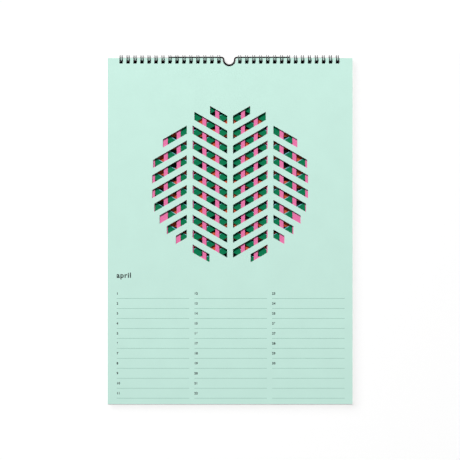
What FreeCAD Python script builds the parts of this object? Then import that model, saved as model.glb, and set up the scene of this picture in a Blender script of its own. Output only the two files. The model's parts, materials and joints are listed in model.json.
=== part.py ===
import FreeCAD, Part
import math
import os

# Wall calendar with twelve die-cut leaves, bound along the top edge by two
# combs of twin-loop wire and hung by a bent wire hanger.
#
# Frame: X across the leaf, -Y towards the reader, +Z up. The X axis is the
# axis of the binding loops, and X = 0 is the middle of the hanger's hook.

# ---- driving dimensions, mm --------------------------------------------
LEAF_WIDTH = 297.0
LEAF_HEIGHT = 420.0
LEAF_THICKNESS = 0.22
LEAF_OFFSET = 1.1  # the punching sits this far left of the leaf's middle
LATER_LEAVES = 4  # September to December, closed under August
TURNED_LEAVES = 3  # January to March, turned over the loops to the back
CARD_THICKNESS = 0.5

HOLE_SIDE = 4.0
HOLE_MARGIN = 2.8  # leaf's top edge to the top of a hole
HOLE_PITCH = 25.4 / 3.0
EMPTY_PLACES = 2  # hole places left out at the thumb cut
SIDE_MARGIN = 10.0  # least distance from the leaf's side to the middle of a hole

LOOP_INNER_RADIUS = 3.6
LOOP_WIRE = 0.9
TWIN_SPACING = 2.5  # between the two wires of one loop
LOOP_SIDES = 8  # straight lengths that stand for the round of a loop
SEAM_ANGLE = -15.0  # the links lie behind the leaves, just under the axis
SEAM_GAP = 0.35  # between a loop's closed tip and the links

HANGER_WIRE = 1.8
HANGER_LENGTH = 148.0
HANGER_SIDES = 10  # flats that stand for the round of its wire
HOOK_RADIUS = 6.6
SHOULDER_RADIUS = 2.8

# ---- clearances, mm ----------------------------------------------------
HOLE_PLAY = 0.1  # front leaf's hole above the wire
TURNING_RADIUS = 2.55  # rear face of the front leaf from the loops' axis
PINK_GAP = 0.5  # April to May, which curl apart
DEEP_GAP = 0.2  # May to June
PAIR_GAP = 0.12  # June to July, which lie together
RED_GAP = 0.32  # July to August
BLOCK_GAP = 0.12
CARD_GAP = 0.1
STACK_DROP = 0.4  # the leaves behind hang this much lower
HANGER_SEAT = 0.05  # hanger above the front leaf's top edge
THUMB_SIDE_PLAY = 0.75
THUMB_BOTTOM_PLAY = 1.15
THUMB_CORNER_PLAY = 0.1

# ---- the die-cut figure, mm --------------------------------------------
FIGURE_DEPTH = 153.0  # leaf's top edge to the figure's centre
FIGURE_RADIUS = 98.0
SLOT_PITCH = 15.6
BRIDGE = 7.0  # paper left between neighbouring columns of slots
LEAN = 30.0  # degrees, slope of the herringbone slots
HERRINGBONE_COLUMNS = 4
APRIL_SLOT = 8.6
MAY_SLOT = 10.8
JUNE_SLOT = 8.2
JULY_SLOT = 7.6  # shows as a thin lip along the lower edge of June's slots
AUGUST_SLOT = 7.0
SHORTEST_SLOT = 9.0

# ---- places that follow from the sizes ---------------------------------
april_back = -TURNING_RADIUS
april_front = april_back - LEAF_THICKNESS
inner_height = math.sqrt(LOOP_INNER_RADIUS ** 2 - april_front ** 2)
april_top = HOLE_MARGIN + HOLE_PLAY - inner_height
stack_top = april_top - STACK_DROP

may_front = april_back + PINK_GAP
june_front = may_front + LEAF_THICKNESS + DEEP_GAP
july_front = june_front + LEAF_THICKNESS + PAIR_GAP
august_front = july_front + LEAF_THICKNESS + RED_GAP
later_front = august_front + LEAF_THICKNESS + BLOCK_GAP
later_thickness = LATER_LEAVES * LEAF_THICKNESS
card_front = later_front + later_thickness + CARD_GAP
turned_front = card_front + CARD_THICKNESS + CARD_GAP
turned_thickness = TURNED_LEAVES * LEAF_THICKNESS

hanger_height = april_top + HANGER_SEAT + HANGER_WIRE / 2
hook_centre = hanger_height - SHOULDER_RADIUS
hook_low = hook_centre - HOOK_RADIUS - HANGER_WIRE / 2
hook_shoulder = HOOK_RADIUS + SHOULDER_RADIUS

thumb_half_width = HOOK_RADIUS + HANGER_WIRE / 2 + THUMB_SIDE_PLAY
thumb_corner = SHOULDER_RADIUS + THUMB_CORNER_PLAY
thumb_depth = stack_top - hook_low + THUMB_BOTTOM_PLAY

herringbone_step = SLOT_PITCH / math.cos(math.radians(LEAN))
lip = (JUNE_SLOT - JULY_SLOT) / 2 / math.cos(math.radians(LEAN))


def loop_places():
    """X of every loop of the right-hand comb, from the middle outwards."""
    first = (EMPTY_PLACES + 1) / 2
    last = (LEAF_WIDTH / 2 - abs(LEAF_OFFSET) - SIDE_MARGIN) / HOLE_PITCH
    return [(first + i) * HOLE_PITCH for i in range(int(last - first) + 1)]


# ---- leaves ------------------------------------------------------------
def leaf_point(x, depth):
    """A point of the leaf's own face, depth measured down from its top edge."""
    return FreeCAD.Vector(x, 0, -depth)


def closed_outline(corners):
    points = [leaf_point(x, depth) for x, depth in corners]
    return Part.makePolygon(points + points[:1])


def leaf_outline():
    """The sheet's edge, with the half-moon thumb cut in the top."""
    left = LEAF_OFFSET - LEAF_WIDTH / 2
    right = LEAF_OFFSET + LEAF_WIDTH / 2
    corner_x = thumb_half_width + thumb_corner
    lean_in = thumb_corner * (1 - math.sqrt(0.5))

    def corner_arc(side):
        top = leaf_point(side * corner_x, 0)
        middle = leaf_point(side * (thumb_half_width + lean_in), lean_in)
        low = leaf_point(side * thumb_half_width, thumb_corner)
        return top, Part.Arc(top, middle, low).toShape(), low

    left_top, left_arc, left_low = corner_arc(-1)
    right_top, right_arc, right_low = corner_arc(1)
    moon = Part.Arc(left_low, leaf_point(0, thumb_depth), right_low).toShape()
    sides = Part.makePolygon([
        right_top,
        leaf_point(right, 0),
        leaf_point(right, LEAF_HEIGHT),
        leaf_point(left, LEAF_HEIGHT),
        leaf_point(left, 0),
        left_top,
    ])
    return Part.Wire([left_arc, moon, right_arc] + sides.Edges)


def punched_holes():
    """Square binding holes, one for each twin loop."""
    half = HOLE_SIDE / 2
    holes = []
    for place in loop_places():
        for x in (-place, place):
            holes.append(closed_outline([
                (x - half, HOLE_MARGIN),
                (x + half, HOLE_MARGIN),
                (x + half, HOLE_MARGIN + HOLE_SIDE),
                (x - half, HOLE_MARGIN + HOLE_SIDE),
            ]))
    return holes


def leaf(slots, front, top, thickness):
    """A sheet or a closed block of sheets, cut through by holes and slots."""
    wires = [leaf_outline()] + punched_holes() + slots
    face = Part.makeFace(wires, "Part::FaceMakerBullseye")
    face.translate(FreeCAD.Vector(0, front, top))
    return face.extrude(FreeCAD.Vector(0, thickness, 0))


# ---- slots of the figure -----------------------------------------------
def span_in_circle(slope, rise):
    """X range, about the centre, where the line rise + slope * x is in the figure."""
    a = 1 + slope ** 2
    b = 2 * slope * rise
    c = rise ** 2 - FIGURE_RADIUS ** 2
    root = b ** 2 - 4 * a * c
    if root <= 0:
        return 0.0, 0.0
    return (-b - math.sqrt(root)) / (2 * a), (-b + math.sqrt(root)) / (2 * a)


def slot_across(low_x, high_x, slope, rise, width, upright=False):
    """One slot between two uprights of the figure, cut short at its rim."""
    half = width / 2 * math.sqrt(1 + slope ** 2)
    spans = [span_in_circle(slope, rise + side * half) for side in (-1, 1)]
    start = max(low_x, spans[0][0], spans[1][0])
    end = min(high_x, spans[0][1], spans[1][1])
    if end - start < SHORTEST_SLOT:
        return None
    corners = []
    for x, side in ((start, -1), (end, -1), (end, 1), (start, 1)):
        corners.append((x, rise + slope * x + side * half))
    if upright:
        corners = [(v, u) for u, v in corners]
    return closed_outline([(LEAF_OFFSET + u, FIGURE_DEPTH + v) for u, v in corners])


def rises(pitch, start):
    """Depths of one column's slots, out to the figure's rim and past it."""
    count = int(2 * FIGURE_RADIUS / pitch) + 1
    return [start + i * pitch for i in range(-count, count + 1)]


def herringbone(width, hand, start):
    """Columns of sloping slots that lean one way and the other in turn."""
    column = 2 * FIGURE_RADIUS / HERRINGBONE_COLUMNS
    slots = []
    for index in range(HERRINGBONE_COLUMNS):
        low_x = -FIGURE_RADIUS + index * column
        slope = hand * math.tan(math.radians(LEAN)) * (1 if index % 2 else -1)
        middle = low_x + column / 2
        for rise in rises(herringbone_step, start):
            slots.append(slot_across(low_x + BRIDGE / 2, low_x + column - BRIDGE / 2,
                                     slope, rise - slope * middle, width))
    return [slot for slot in slots if slot]


def straight_slots(width, upright):
    """Parallel slots from rim to rim."""
    slots = [slot_across(-FIGURE_RADIUS, FIGURE_RADIUS, 0.0, rise, width, upright)
             for rise in rises(SLOT_PITCH, SLOT_PITCH / 2)]
    return [slot for slot in slots if slot]


# ---- binding combs -----------------------------------------------------
def ring_cell(angles):
    """Piece of the loop's polygon, as a flat face across the X axis."""
    half_step = math.radians(loop_step() / 2)
    inner = LOOP_INNER_RADIUS / math.cos(half_step)
    outer = (LOOP_INNER_RADIUS + LOOP_WIRE) / math.cos(half_step)

    def rim(radius, order):
        turns = [math.radians(angle) for angle in order]
        return [FreeCAD.Vector(0, radius * math.cos(t), radius * math.sin(t)) for t in turns]

    points = rim(inner, angles) + rim(outer, reversed(angles))
    return Part.Face(Part.makePolygon(points + points[:1]))


def wire_angle():
    """Angle that one wire diameter takes up along the loop, in degrees."""
    return math.degrees(LOOP_WIRE / (LOOP_INNER_RADIUS + LOOP_WIRE / 2))


def tip_end():
    gap = math.degrees(SEAM_GAP / (LOOP_INNER_RADIUS + LOOP_WIRE / 2))
    return SEAM_ANGLE + wire_angle() / 2 + gap - 360.0


def loop_step():
    """Angle of one straight length of the loop."""
    start = SEAM_ANGLE - wire_angle() / 2
    return (start - tip_end() - wire_angle()) / LOOP_SIDES


def bar(angles, low_x, high_x):
    """Stretch of square wire between two planes across X."""
    face = ring_cell(angles)
    face.translate(FreeCAD.Vector(low_x, 0, 0))
    return face.extrude(FreeCAD.Vector(high_x - low_x, 0, 0))


def binding_comb(places):
    """One continuous wire: twin loops closed round the leaves, joined by links."""
    link = [SEAM_ANGLE + wire_angle() / 2, SEAM_ANGLE - wire_angle() / 2]
    tip = [tip_end() + wire_angle(), tip_end()]
    round_part = [link[1] - i * loop_step() for i in range(LOOP_SIDES + 1)]
    whole = [link[0]] + round_part + [tip[1]]
    half_wire = LOOP_WIRE / 2
    half_twin = TWIN_SPACING / 2
    bars = []
    for index, place in enumerate(places):
        for side in (-1, 1):
            x = place + side * half_twin
            bars.append(bar(whole, x - half_wire, x + half_wire))
        bars.append(bar(tip, place - half_twin + half_wire, place + half_twin - half_wire))
        if index + 1 < len(places):
            bars.append(bar(link, place + half_twin + half_wire,
                            places[index + 1] - half_twin - half_wire))
    return bars[0].fuse(bars[1:]).removeSplitter()


# ---- hanger ------------------------------------------------------------
def wire_section(x, z, across):
    """Cut through the hanger's wire: a many-sided face between the Y axis and across."""
    points = []
    for index in range(HANGER_SIDES):
        turn = 2 * math.pi * (index + 0.5) / HANGER_SIDES
        spoke = FreeCAD.Vector(0, math.cos(turn), 0) + across * math.sin(turn)
        points.append(FreeCAD.Vector(x, 0, z) + spoke * (HANGER_WIRE / 2))
    return Part.Face(Part.makePolygon(points + points[:1]))


def hanger():
    """Straight wire through the loops, bent into a round hook at the thumb cut."""
    along = FreeCAD.Vector(1, 0, 0)
    up = FreeCAD.Vector(0, 0, 1)
    turn_axis = FreeCAD.Vector(0, 1, 0)
    arm = HANGER_LENGTH / 2 - hook_shoulder
    pieces = []
    for side in (-1, 1):
        shoulder_x = side * hook_shoulder
        section = wire_section(shoulder_x, hanger_height, up)
        pieces.append(section.extrude(along * (side * arm)))
        bend_centre = FreeCAD.Vector(shoulder_x, 0, hook_centre)
        pieces.append(section.revolve(bend_centre, turn_axis, side * -90))
    hook = wire_section(-HOOK_RADIUS, hook_centre, along)
    pieces.append(hook.revolve(FreeCAD.Vector(0, 0, hook_centre), turn_axis, -180))
    return pieces[0].fuse(pieces[1:])


# ---- the calendar ------------------------------------------------------
april_slots = herringbone(APRIL_SLOT, 1, 0.0)
may_slots = straight_slots(MAY_SLOT, True)
june_slots = herringbone(JUNE_SLOT, -1, herringbone_step / 2)
july_slots = herringbone(JULY_SLOT, -1, herringbone_step / 2 - lip)
august_slots = straight_slots(AUGUST_SLOT, False)
right_places = loop_places()
left_places = [-x for x in reversed(right_places)]

nodes = {
    "april_leaf": leaf(april_slots, april_front, april_top, LEAF_THICKNESS),
    "may_leaf": leaf(may_slots, may_front, stack_top, LEAF_THICKNESS),
    "june_leaf": leaf(june_slots, june_front, stack_top, LEAF_THICKNESS),
    "july_leaf": leaf(july_slots, july_front, stack_top, LEAF_THICKNESS),
    "august_leaf": leaf(august_slots, august_front, stack_top, LEAF_THICKNESS),
    "later_leaves": leaf([], later_front, stack_top, later_thickness),
    "back_card": leaf([], card_front, stack_top, CARD_THICKNESS),
    "turned_leaves": leaf([], turned_front, stack_top, turned_thickness),
    "left_binding_wire": binding_comb(left_places),
    "right_binding_wire": binding_comb(right_places),
    "hanger_wire": hanger(),
}

os.makedirs("parts", exist_ok=True)
for name, shape in nodes.items():
    shape.exportStep("parts/" + name + ".step")
    box = shape.BoundBox
    print(name, "solids", len(shape.Solids), "valid", shape.isValid(),
          "volume", round(shape.Volume, 1),
          "x", round(box.XMin, 2), round(box.XMax, 2),
          "y", round(box.YMin, 2), round(box.YMax, 2),
          "z", round(box.ZMin, 2), round(box.ZMax, 2))
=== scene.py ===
import json
import math

import bmesh
import bpy
from mathutils import Matrix, Vector


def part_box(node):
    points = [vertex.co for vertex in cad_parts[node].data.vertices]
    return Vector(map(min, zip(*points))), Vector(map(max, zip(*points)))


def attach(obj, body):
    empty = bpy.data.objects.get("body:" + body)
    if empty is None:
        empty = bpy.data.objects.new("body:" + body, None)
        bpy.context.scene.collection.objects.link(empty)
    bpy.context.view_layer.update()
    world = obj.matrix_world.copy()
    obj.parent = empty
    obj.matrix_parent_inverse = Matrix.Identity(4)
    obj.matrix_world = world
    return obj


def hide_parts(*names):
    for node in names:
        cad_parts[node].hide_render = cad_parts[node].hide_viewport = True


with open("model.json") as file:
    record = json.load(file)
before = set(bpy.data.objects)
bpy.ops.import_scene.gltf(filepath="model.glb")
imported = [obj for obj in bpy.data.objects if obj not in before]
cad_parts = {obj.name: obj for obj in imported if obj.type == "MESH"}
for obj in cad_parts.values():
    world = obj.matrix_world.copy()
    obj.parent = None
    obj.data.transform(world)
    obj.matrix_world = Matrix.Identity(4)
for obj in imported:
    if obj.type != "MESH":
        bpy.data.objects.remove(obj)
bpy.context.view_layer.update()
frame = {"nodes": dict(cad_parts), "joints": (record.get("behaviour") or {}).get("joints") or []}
nodes = frame["nodes"]
MM = 0.001  # lengths are in metres

# ---- Back card --------------------------------------------------------------
# A half-millimetre sheet of black dyed board that stiffens the calendar: dead
# matt, with paler fibres and a faint cloudiness from the pulp.

BOARD_FIBRE = 0.35  # mm across one clump of fibres
CLOUD = 28.0  # mm across one cloudy patch of the pulp


def linear(hex_colour):
    """sRGB hex to the linear colour that a shader reads."""
    channels = [int(hex_colour[i:i + 2], 16) / 255 for i in (1, 3, 5)]
    curve = [c / 12.92 if c <= 0.04045 else ((c + 0.055) / 1.055) ** 2.4 for c in channels]
    return (*curve, 1.0)


def add_node(material, kind, settings=None, links=None):
    """One shader node: settings are its values, links maps a socket to its source."""
    node = material.node_tree.nodes.new(kind)
    for name, value in (settings or {}).items():
        if isinstance(name, int) or name in node.inputs:
            node.inputs[name].default_value = value
        else:
            setattr(node, name, value)
    for name, source in (links or {}).items():
        material.node_tree.links.new(source, node.inputs[name])
    return node


def new_material(name, shader_values):
    """A material with one Principled shader, its constants set on its own sockets."""
    material = bpy.data.materials.new(name)
    material.use_nodes = True
    shader = material.node_tree.nodes["Principled BSDF"]
    for socket, value in shader_values.items():
        shader.inputs[socket].default_value = value
    return material, shader


def link(material, source, target):
    """Joins one socket to another."""
    material.node_tree.links.new(source, target)


def paper_material(name, colour, fleck, fibre_mm=BOARD_FIBRE, fleck_share=0.5, bump_mm=0.02):
    """Pulp-dyed paper: colour, cloudiness of the pulp, felted fibres and their tooth."""
    material, shader = new_material(name, {
        "Roughness": 0.86,
        "Specular IOR Level": 0.12,
        "IOR": 1.5,
    })
    coordinates = add_node(material, "ShaderNodeTexCoord").outputs["Object"]
    cloud = add_node(material, "ShaderNodeTexNoise",
                     {"Scale": 1 / (CLOUD * MM), "Detail": 3.0, "Roughness": 0.55},
                     {"Vector": coordinates})
    across = add_node(material, "ShaderNodeMapping", {"Scale": (1.0, 1.0, 0.28)},
                      {"Vector": coordinates})
    along = add_node(material, "ShaderNodeMapping",
                     {"Rotation": (0.0, math.radians(62), 0.0), "Scale": (1.0, 1.0, 0.3)},
                     {"Vector": coordinates})
    fibres = [add_node(material, "ShaderNodeTexNoise",
                       {"Scale": 1 / (fibre_mm * MM), "Detail": 4.0, "Roughness": 0.6},
                       {"Vector": way.outputs["Vector"]})
              for way in (across, along)]
    felt = add_node(material, "ShaderNodeMath", {"operation": "MAXIMUM"},
                    {0: fibres[0].outputs["Fac"], 1: fibres[1].outputs["Fac"]})
    flecks = add_node(material, "ShaderNodeMapRange",
                      {"From Min": 0.55, "From Max": 0.85, "To Min": 0.0, "To Max": fleck_share},
                      {"Value": felt.outputs["Value"]})
    dyed = add_node(material, "ShaderNodeMix",
                    {"data_type": "RGBA", 6: linear(colour), 7: linear(fleck)},
                    {0: flecks.outputs["Result"]})
    clouded = add_node(material, "ShaderNodeMapRange",
                       {"From Min": 0.3, "From Max": 0.7, "To Min": 0.985, "To Max": 1.01},
                       {"Value": cloud.outputs["Fac"]})
    tone = add_node(material, "ShaderNodeHueSaturation", {},
                    {"Color": dyed.outputs[2], "Value": clouded.outputs["Result"]})
    link(material, tone.outputs["Color"], shader.inputs["Base Color"])
    bump = add_node(material, "ShaderNodeBump",
                    {"Strength": 0.35, "Distance": bump_mm * MM},
                    {"Height": felt.outputs["Value"]})
    link(material, bump.outputs["Normal"], shader.inputs["Normal"])
    return material


def dress(node_name, material):
    """Gives a CAD node its finish; its mesh and place stay as they are."""
    mesh = nodes[node_name].data
    mesh.materials.clear()
    mesh.materials.append(material)


dress("back_card", paper_material("black_dyed_board", "#161717", "#34383a", fleck_share=0.6))

# ---- Leaves turned to the back ----------------------------------------------
# January to March, turned over the loops, with their plain backs outwards:
# warm white uncoated paper, whose tooth shows only in a raking light.

dress("turned_leaves", paper_material("warm_white_uncoated_paper", "#e8e4d8", "#f4f1e8"))

# ---- September to December, closed under August -----------------------------
# A block of four leaves. The top one is a very dark green paper, near black as
# painted shade: it stands for the deep shade at the bottom of the deepest cuts.

dress("later_leaves", paper_material("near_black_paper_painted_shade", "#121c17", "#24352c"))

# ---- August back to May -----------------------------------------------------
# Four sheets of pulp-dyed paper, about 200 grams a square metre, each cut
# through by its own slots. July, light blue, shows only as a thin lip under
# June's slots: a painted highlight that stands for their lit cut edges.

dress("august_leaf", paper_material("orange_red_dyed_paper", "#c75433", "#d46e51"))
dress("july_leaf", paper_material("light_blue_paper_painted_highlight", "#86c8e0", "#9fd6e8"))
dress("june_leaf", paper_material("emerald_dyed_paper", "#00744b", "#0e8358"))
dress("may_leaf", paper_material("pink_dyed_paper", "#e775a7", "#f08cb6"))

# ---- April ------------------------------------------------------------------
# The open leaf: pale mint dyed paper with a soft tooth, die-cut with the
# herringbone disc. It turns about the loops on the body front_leaf.

dress("april_leaf", paper_material("mint_dyed_paper", "#c7ebdf", "#d3f2e9", fleck_share=0.3))

# ---- Printing on April ------------------------------------------------------
# The month's name, the days 1 to 30 in three columns, and a hairline to write
# on under each. Offset ink soaked into the paper, 0.01 mm proud of the sheet.

leaf_low, leaf_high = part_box("april_leaf")
INK_PROUD = 0.01 * MM
INK_SUNK = 0.004 * MM
ROWS = 11
COLUMNS = 3
DAYS = 30
ROW_PITCH = 12.1 * MM
FIRST_RULE = 291.6 * MM  # below the leaf's top edge
FIRST_COLUMN = 10.9 * MM  # from the leaf's left side
COLUMN_PITCH = 94.25 * MM
RULE_LENGTH = 88.0 * MM
RULE_WIDTH = 0.4 * MM
NUMBER_HEIGHT = 2.75 * MM
NUMBER_RISE = 4.75 * MM  # foot of a number above its rule
NUMBER_SWELL = 0.17 * MM  # how far ink spreads the stroke of a number
NUMBER_SPACING = 1.14
MONTH_HEIGHT = 6.4 * MM
MONTH_FOOT = 266.4 * MM  # foot of the name below the leaf's top edge
MONTH_SWELL = 0.24 * MM
MONTH_SPACING = 1.13
CAP_SHARE = 0.73  # height of a figure in the built-in typeface, of its size
MOTTLE = 0.25  # mm across one thin spot in the ink


def ink(name, colour):
    """Offset ink on uncoated paper: flat and slightly mottled where fibres show."""
    material, shader = new_material(name, {"Roughness": 0.8, "Specular IOR Level": 0.25})
    coordinates = add_node(material, "ShaderNodeTexCoord").outputs["Object"]
    mottle = add_node(material, "ShaderNodeTexNoise",
                      {"Scale": 1 / (MOTTLE * MM), "Detail": 3.0}, {"Vector": coordinates})
    cover = add_node(material, "ShaderNodeMapRange",
                     {"From Min": 0.3, "From Max": 0.75, "To Min": 0.9, "To Max": 1.25},
                     {"Value": mottle.outputs["Fac"]})
    tone = add_node(material, "ShaderNodeHueSaturation", {"Color": linear(colour)},
                    {"Value": cover.outputs["Result"]})
    link(material, tone.outputs["Color"], shader.inputs["Base Color"])
    return material


def joined(name, meshes, material):
    """One object out of several meshes, at the origin, facing outwards."""
    whole = bmesh.new()
    for mesh in meshes:
        whole.from_mesh(mesh)
        bpy.data.meshes.remove(mesh)
    bmesh.ops.remove_doubles(whole, verts=whole.verts, dist=1e-7)
    bmesh.ops.recalc_face_normals(whole, faces=whole.faces)
    mesh = bpy.data.meshes.new(name)
    whole.to_mesh(mesh)
    whole.free()
    mesh.materials.append(material)
    piece = bpy.data.objects.new(name, mesh)
    bpy.context.collection.objects.link(piece)
    return piece


def printed_words(words, name, height, swell, spacing, material):
    """Lettering as one thin mesh. words is a list of (text, x, z of its foot)."""
    parts = []
    for text, x, z in words:
        curve = bpy.data.curves.new(name, "FONT")
        curve.body = text
        curve.size = height / CAP_SHARE
        curve.space_character = spacing
        curve.offset = swell
        curve.extrude = (INK_PROUD + INK_SUNK) / 2
        curve.resolution_u = 6
        lettering = bpy.data.objects.new(name, curve)
        bpy.context.collection.objects.link(lettering)
        mesh = bpy.data.meshes.new_from_object(lettering.evaluated_get(
            bpy.context.evaluated_depsgraph_get()))
        bpy.data.objects.remove(lettering)
        front = leaf_low[1] - (INK_PROUD - INK_SUNK) / 2
        upright = Matrix.Rotation(math.radians(90), 4, "X")
        mesh.transform(Matrix.Translation((x, front, z)) @ upright)
        parts.append(mesh)
    return joined(name, parts, material)


def hairline(x, z):
    """One ruled line, as thin as its ink."""
    line = bmesh.new()
    bmesh.ops.create_cube(line, size=1.0)
    bmesh.ops.scale(line, vec=(RULE_LENGTH, INK_PROUD + INK_SUNK, RULE_WIDTH), verts=line.verts)
    middle = Vector((x + RULE_LENGTH / 2, leaf_low[1] - (INK_PROUD - INK_SUNK) / 2, z))
    bmesh.ops.translate(line, vec=middle, verts=line.verts)
    mesh = bpy.data.meshes.new("rule")
    line.to_mesh(mesh)
    line.free()
    return mesh


name_ink = ink("dark_grey_offset_ink", "#121c1c")
rule_ink = ink("tinted_hairline_ink", "#7fb0a2")
column_x = [leaf_low[0] + FIRST_COLUMN + i * COLUMN_PITCH for i in range(COLUMNS)]
row_z = [leaf_high[2] - FIRST_RULE - i * ROW_PITCH for i in range(ROWS)]

month_name = printed_words([("april", column_x[0], leaf_high[2] - MONTH_FOOT)],
                           "month_name", MONTH_HEIGHT, MONTH_SWELL, MONTH_SPACING, name_ink)
day_words = [(str(day + 1), column_x[day // ROWS], row_z[day % ROWS] + NUMBER_RISE)
             for day in range(DAYS)]
day_numbers = printed_words(day_words, "day_numbers", NUMBER_HEIGHT,
                            NUMBER_SWELL, NUMBER_SPACING, name_ink)
day_rules = joined("day_rules", [hairline(x, z) for x in column_x for z in row_z], rule_ink)
for piece in (month_name, day_numbers, day_rules):
    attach(piece, "front_leaf")

# ---- Binding combs ----------------------------------------------------------
# Two combs of twin-loop wire, 15 loops each. Each comb is one steel wire with a
# black nylon coat, bent to and fro into paired fingers and then closed round
# the leaves, so every finger's round tip meets the links at the back.

HOLE_PITCH = 25.4 / 3 * MM
LOOPS = 15
FIRST_LOOP = 1.5 * HOLE_PITCH
WIRE_RADIUS = 0.45 * MM
LOOP_RADIUS = 4.05 * MM
HALF_TWIN = 1.25 * MM
SEAM = math.radians(-15)
SEAM_TO_TIP = math.radians(12)
BEND = 0.75 * MM  # radius of the bends between a finger and a link
DRAWING_MARK = 0.22  # mm across one mark of the die, coarser than the real ones
LOOP_STEPS = 44  # straight bits that draw one wire of a twin loop
TIP_STEPS = 8
BEND_STEPS = 5


def coated_wire(name, colour, specular):
    """Steel wire in a thin nylon coat: its gloss is broken by fine drawing marks."""
    material, shader = new_material(name, {
        "Base Color": linear(colour),
        "Specular IOR Level": specular,
        "IOR": 1.5,
    })
    coordinates = add_node(material, "ShaderNodeTexCoord").outputs["Object"]
    grain = add_node(material, "ShaderNodeTexNoise",
                     {"Scale": 1 / (DRAWING_MARK * MM), "Detail": 3.0}, {"Vector": coordinates})
    shade = add_node(material, "ShaderNodeMapRange", {"To Min": 0.34, "To Max": 0.5},
                     {"Value": grain.outputs["Fac"]})
    link(material, shade.outputs["Result"], shader.inputs["Roughness"])
    bump = add_node(material, "ShaderNodeBump", {"Strength": 0.2, "Distance": 0.01 * MM},
                    {"Height": grain.outputs["Fac"]})
    link(material, bump.outputs["Normal"], shader.inputs["Normal"])
    return material


def wire_piece(name, path, radius, material, sides=12):
    """A round wire along a path of points, capped at both ends."""
    curve = bpy.data.curves.new(name, "CURVE")
    curve.dimensions = "3D"
    curve.bevel_depth = radius
    curve.bevel_resolution = sides // 2 - 2
    curve.use_fill_caps = True
    spline = curve.splines.new("POLY")
    spline.points.add(len(path) - 1)
    for point, place in zip(spline.points, path):
        point.co = (*place, 1.0)
    source = bpy.data.objects.new(name, curve)
    bpy.context.collection.objects.link(source)
    mesh = bpy.data.meshes.new_from_object(source.evaluated_get(
        bpy.context.evaluated_depsgraph_get()))
    bpy.data.objects.remove(source)
    piece = joined(name, [mesh], material)
    piece.data.shade_smooth()
    return piece


def on_loop(x, angle):
    """A point of the wire's centre line, on the loops' round."""
    return Vector((x, LOOP_RADIUS * math.cos(angle), LOOP_RADIUS * math.sin(angle)))


def finger(x):
    """One twin loop: up one wire, round the tip, and back down the other."""
    start = SEAM - BEND / LOOP_RADIUS
    tip = SEAM + SEAM_TO_TIP - 2 * math.pi + HALF_TWIN / LOOP_RADIUS
    angles = [start + (tip - start) * i / LOOP_STEPS for i in range(LOOP_STEPS + 1)]
    first = [on_loop(x - HALF_TWIN, angle) for angle in angles]
    turn = []
    for i in range(1, TIP_STEPS):
        sweep = math.pi * i / TIP_STEPS
        turn.append(on_loop(x - HALF_TWIN * math.cos(sweep),
                            tip - HALF_TWIN / LOOP_RADIUS * math.sin(sweep)))
    second = [on_loop(x + HALF_TWIN, angle) for angle in reversed(angles)]
    return first + turn + second


def link_bend(x, side):
    """The rounded corner between a finger and the link beside it."""
    bend = []
    for i in range(1, BEND_STEPS):
        sweep = math.pi / 2 * i / BEND_STEPS
        along = BEND * (1 - math.cos(sweep))
        back = BEND * (1 - math.sin(sweep))
        bend.append(on_loop(x + side * along, SEAM - back / LOOP_RADIUS))
    return bend


def comb_path(places):
    """The whole comb's wire, finger after finger, joined by the links."""
    path = []
    for index, x in enumerate(places):
        if index:
            path += list(reversed(link_bend(x - HALF_TWIN, -1)))
        path += finger(x)
        if index + 1 < len(places):
            path += link_bend(x + HALF_TWIN, 1)
    return path


glossy_coat = coated_wire("black_nylon_coated_wire", "#070708", specular=0.6)
right_places = [FIRST_LOOP + i * HOLE_PITCH for i in range(LOOPS)]
sides = {"right_comb": ("right_binding_wire", right_places),
         "left_comb": ("left_binding_wire", [-x for x in reversed(right_places)])}
combs = []
for name, (node_name, places) in sides.items():
    comb = wire_piece(name, comb_path(places), WIRE_RADIUS, glossy_coat)
    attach(comb, "calendar_block")
    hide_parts(node_name)
    combs.append(comb)

# ---- Hanger -----------------------------------------------------------------
# One coated steel wire, threaded straight through the loops above the leaves
# and bent in the middle into the hook that goes over the nail. It lies with
# the hook down in the thumb cut and swings up on its own straight arms.

HANGER_RADIUS = 0.9 * MM
HOOK_RADIUS = 6.6 * MM
SHOULDER_RADIUS = 2.8 * MM
END_ROUNDING = 0.18 * MM
SHOULDER_STEPS = 10
HOOK_STEPS = 28


def frame_joint(name):
    """A joint of the frame, by its name."""
    return [joint for joint in frame["joints"] if joint["name"] == name][0]


def arc(centre, radius, start, end, steps):
    """Points on a bend in the hanger's own plane, angles in degrees from +X."""
    points = []
    for i in range(steps + 1):
        turn = math.radians(start + (end - start) * i / steps)
        points.append(centre + Vector((radius * math.cos(turn), 0, radius * math.sin(turn))))
    return points


def hanger_path():
    """The hanger's centre line: arm, shoulder, hook, shoulder, arm."""
    low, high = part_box("hanger_wire")
    axis_z = frame_joint("hanger_swing")["pos_m"][2]
    shoulder_x = HOOK_RADIUS + SHOULDER_RADIUS
    hook_z = axis_z - SHOULDER_RADIUS
    path = [Vector((low[0], 0, axis_z))]
    path += arc(Vector((-shoulder_x, 0, hook_z)), SHOULDER_RADIUS, 90, 0, SHOULDER_STEPS)
    path += arc(Vector((0, 0, hook_z)), HOOK_RADIUS, 180, 360, HOOK_STEPS)[1:]
    path += arc(Vector((shoulder_x, 0, hook_z)), SHOULDER_RADIUS, 180, 90, SHOULDER_STEPS)[1:]
    path.append(Vector((high[0], 0, axis_z)))
    return path


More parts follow.
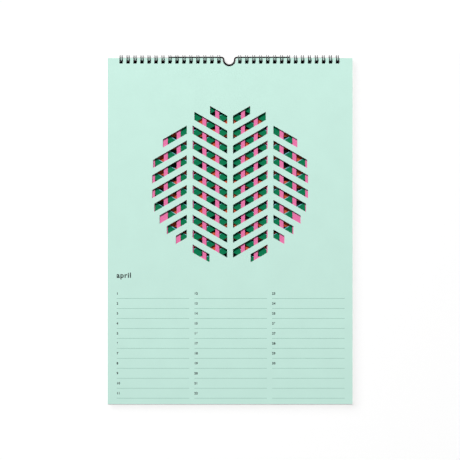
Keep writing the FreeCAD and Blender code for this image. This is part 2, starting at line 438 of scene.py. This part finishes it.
matt_coat = coated_wire("matt_black_nylon_coated_wire", "#060606", specular=0.02)
hanger = wire_piece("hanger", hanger_path(), HANGER_RADIUS, matt_coat, sides=16)
ends = bmesh.new()
ends.from_mesh(hanger.data)
rims = [edge for edge in ends.edges
        if len(edge.link_faces) == 2 and max(len(face.verts) for face in edge.link_faces) > 4]
bmesh.ops.bevel(ends, geom=rims, offset=END_ROUNDING, offset_type="OFFSET", segments=3,
                profile=0.5, affect="EDGES", material=-1)
ends.to_mesh(hanger.data)
ends.free()
hanger.data.shade_smooth()
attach(hanger, "hanger")
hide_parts("hanger_wire")

# ---- Wall and floor ---------------------------------------------------------
# A white painted board close behind takes the calendar's soft shadow. It ends
# just above the loops, so that a leaf can turn over it, and is clear to the
# lamps and from behind. A pale floor lies below.

WALL_Y = 5.6 * MM
WALL_TOP = 9.0 * MM
WALL_SIDE = 0.4
WALL_WHITE = 0.5
WALL_GLOW = 0.698
# Painted shade: within this reach of the calendar the wall's paint turns black and its glow goes
# out.
PAINTED_SHADE_REACH = 25 * MM  # reach within which the wall counts as shut in
FLOOR_Z = -0.62
FLOOR_REACH = 3.0
FLOOR_WHITE = 0.07
FLOOR_GLOW = 0.87


def plane(name, corners, material):
    """A flat sheet of the studio, which is no part of the calendar."""
    face = bmesh.new()
    face.faces.new([face.verts.new(corner) for corner in corners])
    mesh = bpy.data.meshes.new(name)
    face.to_mesh(mesh)
    face.free()
    mesh.materials.append(material)
    backdrop = bpy.data.objects.new(name, mesh)
    bpy.context.collection.objects.link(backdrop)
    return backdrop


def wall_paint():
    """Matt white: lit like paint, lifted to white where the camera sees it, and with painted
    shade, black, where the calendar shuts it in.
    """
    material, shader = new_material("matt_white_wall_paint", {
        "Roughness": 0.9, "Specular IOR Level": 0.0})
    rays = add_node(material, "ShaderNodeLightPath")
    seen = add_node(material, "ShaderNodeMath", {"operation": "MAXIMUM"},
                    {0: rays.outputs["Is Camera Ray"], 1: rays.outputs["Is Glossy Ray"]})
    # Painted shade: ambient occlusion blackens the paint and puts out the glow in the binding
    # holes and other places the calendar shuts in.
    shut_in_shade = add_node(material, "ShaderNodeAmbientOcclusion", {"samples": 16, "Distance": PAINTED_SHADE_REACH})
    painted_shade_mask = add_node(material, "ShaderNodeMapRange", {"From Min": 0.3, "From Max": 0.44},
                         {"Value": shut_in_shade.outputs["AO"]})
    paint = add_node(material, "ShaderNodeMix",
                     {"data_type": "RGBA", 6: (0.0, 0.0, 0.0, 1.0),
                      7: (WALL_WHITE, WALL_WHITE, WALL_WHITE, 1.0)},
                     {0: painted_shade_mask.outputs["Result"]})
    link(material, paint.outputs[2], shader.inputs["Base Color"])
    lift = add_node(material, "ShaderNodeMath", {"operation": "MULTIPLY", 1: WALL_GLOW},
                    {0: painted_shade_mask.outputs["Result"]})
    glow = add_node(material, "ShaderNodeMath", {"operation": "MULTIPLY"},
                    {0: seen.outputs["Value"], 1: lift.outputs["Value"]})
    shader.inputs["Emission Color"].default_value = (1.0, 1.0, 1.0, 1.0)
    link(material, glow.outputs["Value"], shader.inputs["Emission Strength"])
    clear = add_node(material, "ShaderNodeBsdfTransparent")
    behind = add_node(material, "ShaderNodeNewGeometry")
    hidden = add_node(material, "ShaderNodeMath", {"operation": "MAXIMUM"},
                      {0: behind.outputs["Backfacing"], 1: rays.outputs["Is Shadow Ray"]})
    mix = add_node(material, "ShaderNodeMixShader", {},
                   {0: hidden.outputs["Value"], 1: shader.outputs["BSDF"],
                    2: clear.outputs["BSDF"]})
    link(material, mix.outputs["Shader"],
         material.node_tree.nodes["Material Output"].inputs["Surface"])
    return material


def floor_paint():
    """Matt floor that throws little light back up, lifted to white for the camera."""
    material, shader = new_material("pale_floor", {
        "Base Color": (FLOOR_WHITE, FLOOR_WHITE, FLOOR_WHITE, 1.0),
        "Roughness": 0.9, "Specular IOR Level": 0.1})
    rays = add_node(material, "ShaderNodeLightPath")
    glow = add_node(material, "ShaderNodeMath", {"operation": "MULTIPLY", 1: FLOOR_GLOW},
                    {0: rays.outputs["Is Camera Ray"]})
    shader.inputs["Emission Color"].default_value = (1.0, 1.0, 1.0, 1.0)
    link(material, glow.outputs["Value"], shader.inputs["Emission Strength"])
    return material


wall = plane("wall", [(-WALL_SIDE, WALL_Y, FLOOR_Z), (WALL_SIDE, WALL_Y, FLOOR_Z),
                      (WALL_SIDE, WALL_Y, WALL_TOP), (-WALL_SIDE, WALL_Y, WALL_TOP)],
             wall_paint())
plane("floor", [(-FLOOR_REACH, -FLOOR_REACH, FLOOR_Z), (FLOOR_REACH, -FLOOR_REACH, FLOOR_Z),
                (FLOOR_REACH, FLOOR_REACH, FLOOR_Z), (-FLOOR_REACH, FLOOR_REACH, FLOOR_Z)],
      floor_paint())

# ---- Net --------------------------------------------------------------------
# A lighting net of thin black threads, hung between the key lamp and the air
# above the loops. It takes the light down on a leaf that is turned up and so
# leans back towards the lamp; to the eye it is clear.

NET_Y = -0.06
NET_FOOT = 0.173
NET_TOP = 0.85
NET_SIDE = 0.35
NET_STOPS = 0.44  # share of the light that its threads stop


def net_cloth():
    """Black net, drawn as one even veil that only light on its way from a lamp meets."""
    material, shader = new_material("black_lighting_net", {
        "Base Color": (0.0, 0.0, 0.0, 1.0), "Roughness": 1.0, "Specular IOR Level": 0.0})
    rays = add_node(material, "ShaderNodeLightPath")
    threads = add_node(material, "ShaderNodeMath", {"operation": "MULTIPLY", 1: NET_STOPS},
                       {0: rays.outputs["Is Shadow Ray"]})
    link(material, threads.outputs["Value"], shader.inputs["Alpha"])
    return material


plane("net", [(-NET_SIDE, NET_Y, NET_FOOT), (NET_SIDE, NET_Y, NET_FOOT),
              (NET_SIDE, NET_Y, NET_TOP), (-NET_SIDE, NET_Y, NET_TOP)], net_cloth())

# ---- Light ------------------------------------------------------------------
# A lamp high on the left, flagged off the wall, throws the crisp shadows in the
# slots. A square of cloth as big as a window lights the wall and the combs'
# gloss. A weak fill and a lamp for the back make up the rest.

WORLD_LIGHT = 0.04
WORLD_SEEN = 1.03
KEY_PLACE = (-1.65, -2.45, 6.0)
KEY_WIDTH = 0.7
KEY_WATTS = 1135.0
WINDOW_Y = -3.2
WINDOW_SLOPE = 1.9  # how far its light slants, at most, for each metre forward
WINDOW_WATTS = 305.0
FILL_PLACE = (1.6, -1.7, 0.6)
FILL_WIDTH = 1.2
FILL_WATTS = 1.5
BACK_PLACE = (0.6, 2.4, 0.9)
BACK_WIDTH = 1.5
BACK_WATTS = 74.0

world = bpy.data.worlds.new("studio")
bpy.context.scene.world = world
world.use_nodes = True
sky = world.node_tree.nodes["Background"]
sky.inputs["Color"].default_value = (1.0, 1.0, 1.0, 1.0)
world_rays = world.node_tree.nodes.new("ShaderNodeLightPath")
world_level = world.node_tree.nodes.new("ShaderNodeMapRange")
world_level.inputs["To Min"].default_value = WORLD_LIGHT
world_level.inputs["To Max"].default_value = WORLD_SEEN
world_seen = world.node_tree.nodes.new("ShaderNodeMath")
world_seen.operation = "MAXIMUM"
world.node_tree.links.new(world_rays.outputs["Is Camera Ray"], world_seen.inputs[0])
world.node_tree.links.new(world_rays.outputs["Is Glossy Ray"], world_seen.inputs[1])
world.node_tree.links.new(world_seen.outputs["Value"], world_level.inputs["Value"])
world.node_tree.links.new(world_level.outputs["Result"], sky.inputs["Strength"])

leaf_middle = (Vector(leaf_low) + Vector(leaf_high)) / 2


def lamp(name, place, width, watts, shape="DISK", aim=leaf_middle):
    """An area lamp that faces the leaf's middle, or the point given."""
    light = bpy.data.lights.new(name, "AREA")
    light.shape = shape
    light.size = width
    light.energy = watts
    holder = bpy.data.objects.new(name, light)
    bpy.context.collection.objects.link(holder)
    holder.location = place
    holder.rotation_euler = (aim - Vector(place)).to_track_quat("-Z", "Y").to_euler()
    return holder


def flag(lamp_object, pieces, state):
    """Keeps a lamp's light off some pieces, or on those pieces alone."""
    group = bpy.data.collections.new(lamp_object.name + "_flag")
    for index, piece in enumerate(pieces):
        group.objects.link(piece)
        group.collection_objects[index].light_linking.link_state = state
    lamp_object.light_linking.receiver_collection = group


window_side = -WINDOW_Y * WINDOW_SLOPE
window_place = Vector((-window_side / 2, WINDOW_Y, leaf_middle[2] + window_side / 2))
key = lamp("key", KEY_PLACE, KEY_WIDTH, KEY_WATTS)
window = lamp("window", window_place, window_side, WINDOW_WATTS, "SQUARE",
              window_place + Vector((0, 1, 0)))
flag(key, [wall], "EXCLUDE")
flag(window, [wall] + combs, "INCLUDE")
lamp("fill", FILL_PLACE, FILL_WIDTH, FILL_WATTS)
lamp("back", BACK_PLACE, BACK_WIDTH, BACK_WATTS)

# ---- Camera -----------------------------------------------------------------
# Square on to the leaf, from well back, with a long lens, as flat work is
# copied. It aims a hair above and to the left of the leaf's middle.

LENS = 135.0
SENSOR = 36.0
FRAME_WIDTH = 0.5579  # metres across the picture at the leaf
AIM_LEFT = 0.12 * MM
AIM_ABOVE = 1.4 * MM
camera_data = bpy.data.cameras.new("camera")
camera_data.lens = LENS
camera_data.sensor_width = SENSOR
camera = bpy.data.objects.new("camera", camera_data)
bpy.context.collection.objects.link(camera)
distance = FRAME_WIDTH * LENS / SENSOR
camera.location = (leaf_middle[0] - AIM_LEFT, leaf_low[1] - distance,
                   leaf_middle[2] + AIM_ABOVE)
camera.rotation_euler = (math.radians(90), 0, 0)
bpy.context.scene.camera = camera
bpy.context.scene.view_settings.view_transform = "Standard"
